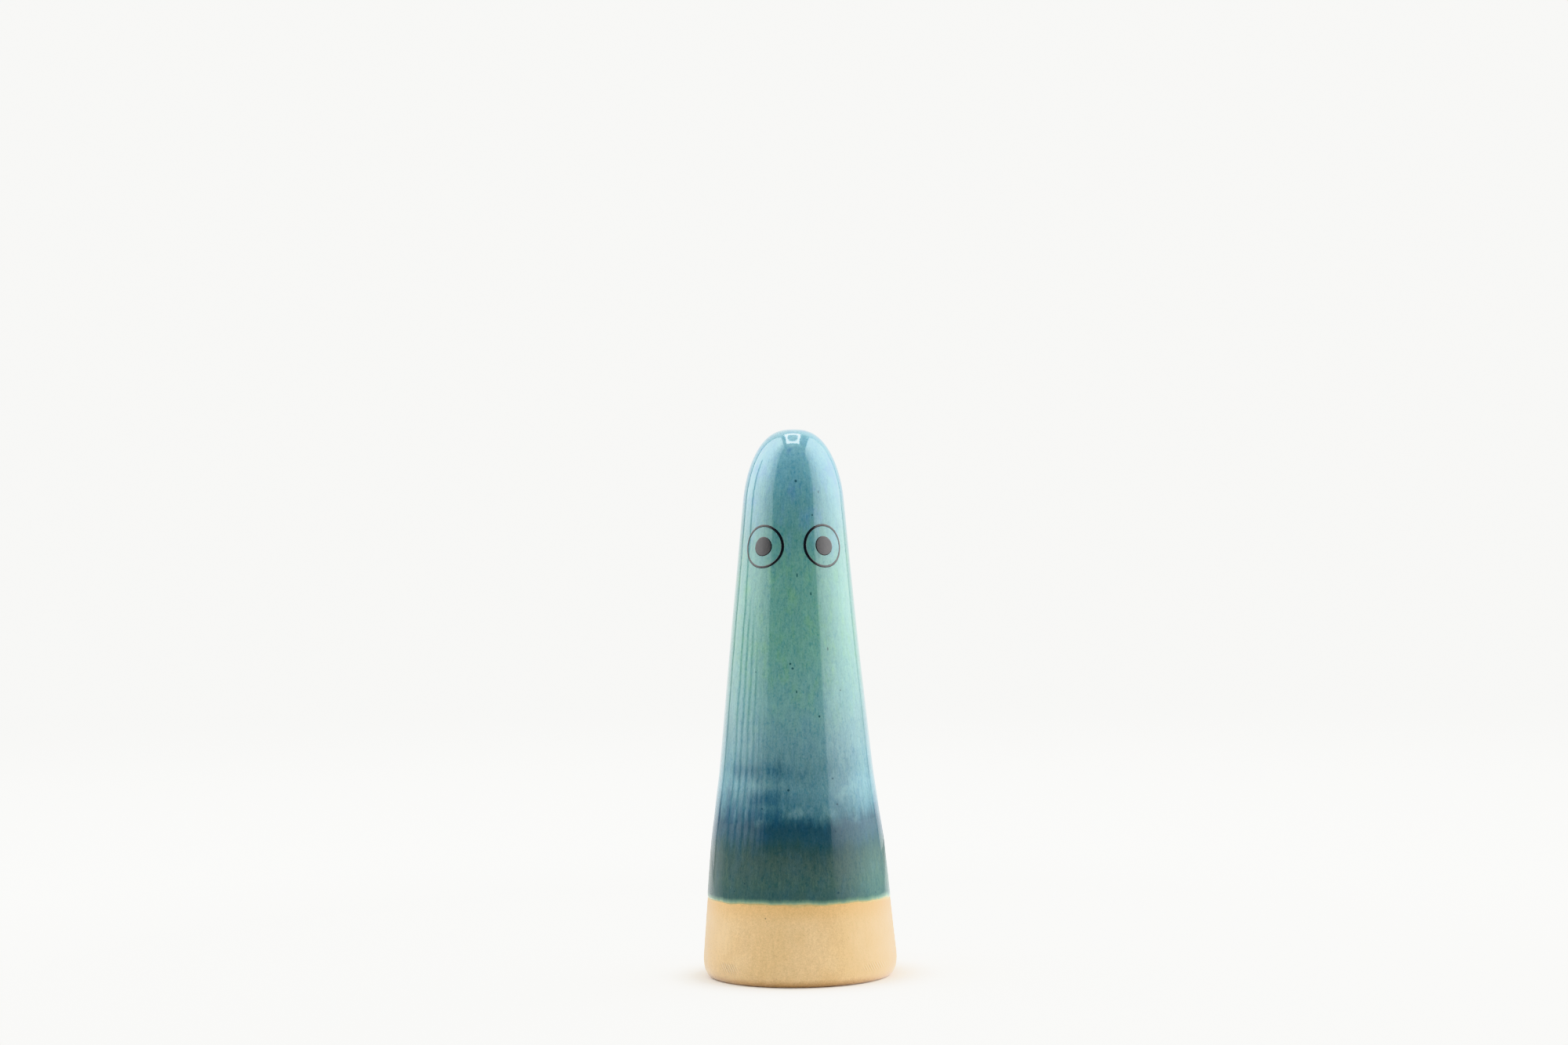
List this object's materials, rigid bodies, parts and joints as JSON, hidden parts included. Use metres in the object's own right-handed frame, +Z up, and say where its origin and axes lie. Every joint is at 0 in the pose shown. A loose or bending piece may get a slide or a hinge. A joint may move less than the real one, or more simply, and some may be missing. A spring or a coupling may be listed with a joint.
{
  "type": "kokeshi doll",
  "caption": "Round-topped conical stoneware figure with a blue-green glaze above a bare clay foot, and ring-and-dot eyes near the top.",
  "frame": {"origin": "centre of the foot's flat resting face", "axes": "+Z up along the axis the figure was thrown on; the eyes face -Y; +X is the figure's own left"},
  "size_m": [0.0426, 0.0426, 0.12],
  "materials": {
    "clay": "matte",
    "dark_glaze": "gloss",
    "light_glaze": "gloss",
    "decal": "satin"
  },
  "bodies": {
    "root": {"stoneware_body": "clay", "base_glaze": "dark_glaze", "over_glaze": "light_glaze", "left_eye_ring": "decal", "left_pupil": "decal", "right_eye_ring": "decal", "right_pupil": "decal"}
  },
  "joints": []
}
